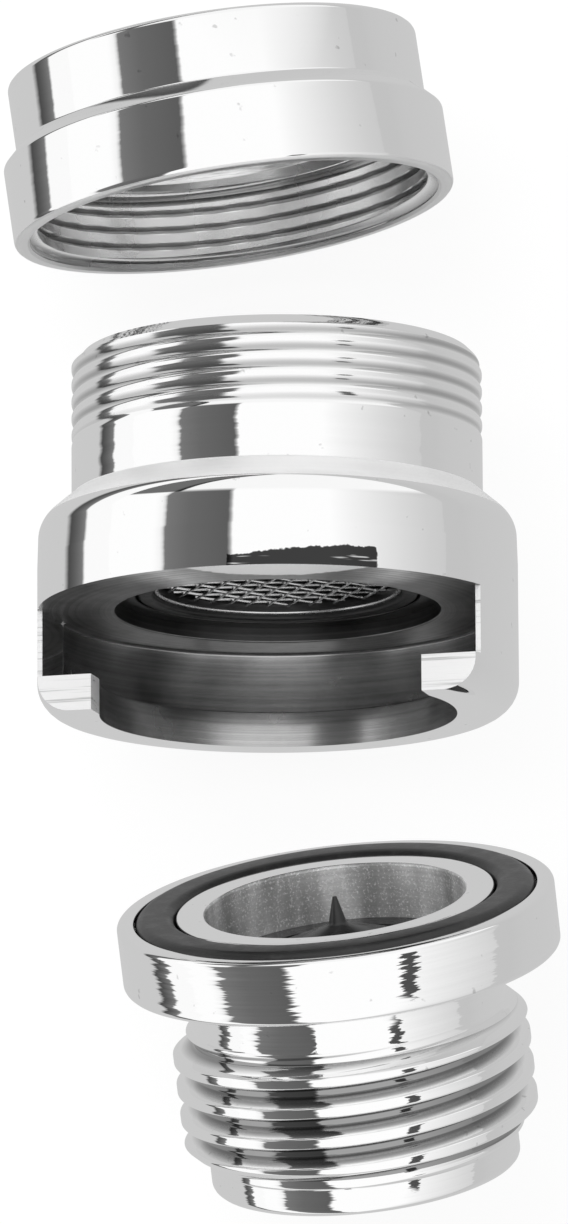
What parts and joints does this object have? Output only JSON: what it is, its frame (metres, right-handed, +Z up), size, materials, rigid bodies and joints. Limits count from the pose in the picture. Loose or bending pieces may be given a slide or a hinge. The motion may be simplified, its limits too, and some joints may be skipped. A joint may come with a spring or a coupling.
{
  "type": "slide-in tap coupling set",
  "caption": "Chromed slide-in coupling for a basin tap, laid out in pieces: adapter ring, slotted coupler with strainer, and flanged hose nipple with a gasket and a sprung check valve.",
  "frame": {"origin": "on the table under the middle of the laid-out set's box", "axes": "+Z up from the table, +Y from the hose nipple towards the adapter ring, +X to the right seen from above"},
  "size_m": [0.0324, 0.07, 0.0283],
  "materials": {
    "chrome": "polished chrome on turned brass",
    "rubber": "matte moulded rubber",
    "steel": "drawn wire",
    "valve_plastic": "moulded"
  },
  "bodies": {
    "coupling_set": {"adapter_ring": "chrome", "coupler_body": "chrome", "inlet_washer": "rubber", "strainer_seal": "rubber", "strainer_rim": "steel", "strainer_mesh": "steel", "nipple_body": "chrome", "flange_gasket": "rubber", "valve_housing": "valve_plastic", "valve_o_ring": "rubber", "valve_guide": "valve_plastic", "valve_spring": "steel"},
    "poppet": {"valve_poppet": "valve_plastic", "poppet_seal": "rubber"}
  },
  "joints": [
    {"name": "poppet_slide", "type": "slide", "parent": "coupling_set", "child": "poppet", "axis": [0.1152, -0.9658, -0.2322], "range_m": [0, 0.0022], "stiffness_N_per_m": 150, "springref_m": -0.002, "deforming": ["valve_spring"]}
  ]
}
